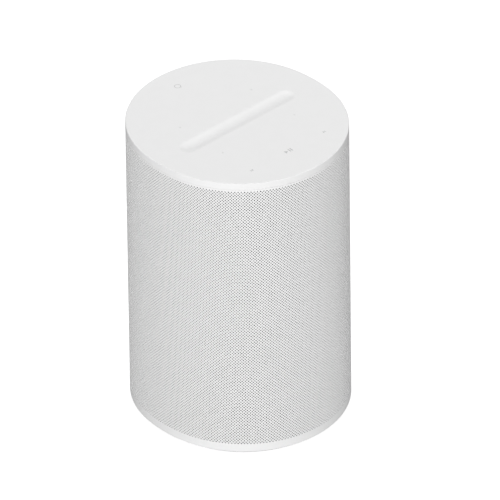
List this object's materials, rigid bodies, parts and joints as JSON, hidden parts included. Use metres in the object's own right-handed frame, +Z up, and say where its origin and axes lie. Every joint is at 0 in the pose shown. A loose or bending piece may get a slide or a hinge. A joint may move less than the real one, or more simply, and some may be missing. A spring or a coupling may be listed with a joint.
{
  "type": "smart speaker",
  "caption": "Upright oval smart speaker: finely perforated wrap-round grille, plain touch top with a finger trough, sealed woofer-and-tweeter chamber, rear connector plinth.",
  "frame": {"origin": "centre of the foot pad's underside, on the body's own plan centre", "axes": "+Z up along the body's height; the front faces -Y and the connector plinth faces +Y; +X is to the right seen from the front"},
  "size_m": [0.12, 0.1305, 0.1825],
  "materials": {
    "cover_white": "fine matt moulded plastic",
    "grille_white": "matt, finely perforated",
    "panel_white": "matt moulded plastic",
    "control_white": "satin moulded plastic",
    "foot_rubber": "matt rubber",
    "housing_black": "textured moulded plastic",
    "frame_black": "moulded plastic",
    "seal_rubber": "soft rubber",
    "foam_grey": "open-cell foam",
    "screw_zinc": "zinc-plated",
    "basket_steel": "black powder coat",
    "motor_steel": "machined, zinc-plated",
    "ferrite": "sintered ferrite",
    "neodymium": "nickel-plated magnet",
    "cone_paper": "pressed paper fibre",
    "surround_rubber": "satin butyl rubber",
    "spider_cloth": "resin-stiffened cloth",
    "coil_copper": "enamelled copper wire",
    "silk_dome": "coated silk",
    "terminal_strip": "phenolic strip with tinned tags",
    "circuit_green": "solder mask over copper",
    "chip_black": "moulded chip packages",
    "shield_tin": "tinned sheet",
    "spreader_alloy": "black anodised, brushed sheet",
    "pad_grey": "soft silicone pad",
    "transformer_tape": "yellow tape over ferrite",
    "capacitor_sleeve": "shrink sleeve",
    "inlet_black": "glass-filled nylon",
    "pin_nickel": "nickel-plated brass",
    "socket_steel": "pressed stainless steel",
    "antenna_film": "flexible printed antenna"
  },
  "bodies": {
    "speaker": {"top_cover": "cover_white", "touch_board": "circuit_green", "microphones": "shield_tin", "microphone_gaskets": "seal_rubber", "top_frame": "frame_black", "top_screws": "screw_zinc", "radio_antennas": "antenna_film", "grille": "grille_white", "rear_panel": "panel_white", "base_cover": "cover_white", "base_screws": "screw_zinc", "foot_pad": "foot_rubber", "front_housing": "housing_black", "rear_housing": "housing_black", "housing_gasket": "seal_rubber", "housing_screws": "screw_zinc", "damping_foam": "foam_grey", "woofer_frame": "basket_steel", "woofer_gasket": "seal_rubber", "woofer_surround": "surround_rubber", "woofer_spider": "spider_cloth", "woofer_front_plate": "motor_steel", "woofer_magnet": "ferrite", "woofer_yoke": "motor_steel", "woofer_terminals": "terminal_strip", "woofer_screws": "screw_zinc", "tweeter_screws": "screw_zinc", "heat_spreader": "spreader_alloy", "thermal_pads": "pad_grey", "main_board": "circuit_green", "main_board_chips": "chip_black", "rf_shield": "shield_tin", "power_board": "circuit_green", "power_transformer": "transformer_tape", "power_capacitors": "capacitor_sleeve", "board_screws": "screw_zinc", "power_inlet": "inlet_black", "power_inlet_pins": "pin_nickel", "io_board": "circuit_green", "data_socket": "socket_steel", "io_switches": "inlet_black", "left_tweeter_waveguide": "frame_black", "left_tweeter_surround": "surround_rubber", "left_tweeter_magnet": "neodymium", "left_tweeter_yoke": "motor_steel", "left_tweeter_rear_can": "housing_black", "right_tweeter_waveguide": "frame_black", "right_tweeter_surround": "surround_rubber", "right_tweeter_magnet": "neodymium", "right_tweeter_yoke": "motor_steel", "right_tweeter_rear_can": "housing_black"},
    "woofer_diaphragm": {"woofer_cone": "cone_paper", "woofer_dust_cap": "cone_paper", "woofer_voice_coil": "coil_copper"},
    "left_tweeter_diaphragm": {"left_tweeter_dome": "silk_dome", "left_tweeter_voice_coil": "coil_copper"},
    "right_tweeter_diaphragm": {"right_tweeter_dome": "silk_dome", "right_tweeter_voice_coil": "coil_copper"},
    "pairing_button": {"pairing_button": "control_white"},
    "mic_switch_knob": {"mic_switch_knob": "control_white"}
  },
  "joints": [
    {"name": "woofer_stroke", "type": "slide", "parent": "speaker", "child": "woofer_diaphragm", "axis": [0, -1, 0], "range_m": [-0.004, 0.004], "stiffness_N_per_m": 2000, "deforming": ["woofer_surround", "woofer_spider"]},
    {"name": "left_tweeter_stroke", "type": "slide", "parent": "speaker", "child": "left_tweeter_diaphragm", "axis": [-0.829, -0.5592, 0], "range_m": [-0.0003, 0.0003], "stiffness_N_per_m": 3000, "deforming": ["left_tweeter_surround"]},
    {"name": "right_tweeter_stroke", "type": "slide", "parent": "speaker", "child": "right_tweeter_diaphragm", "axis": [0.829, -0.5592, 0], "range_m": [-0.0003, 0.0003], "stiffness_N_per_m": 3000, "deforming": ["right_tweeter_surround"]},
    {"name": "pairing_button_press", "type": "slide", "parent": "speaker", "child": "pairing_button", "axis": [0, -1, 0], "range_m": [0, 0.0008], "stiffness_N_per_m": 1500},
    {"name": "mic_switch_slide", "type": "slide", "parent": "speaker", "child": "mic_switch_knob", "axis": [1, 0, 0], "range_m": [0, 0.0025]}
  ]
}
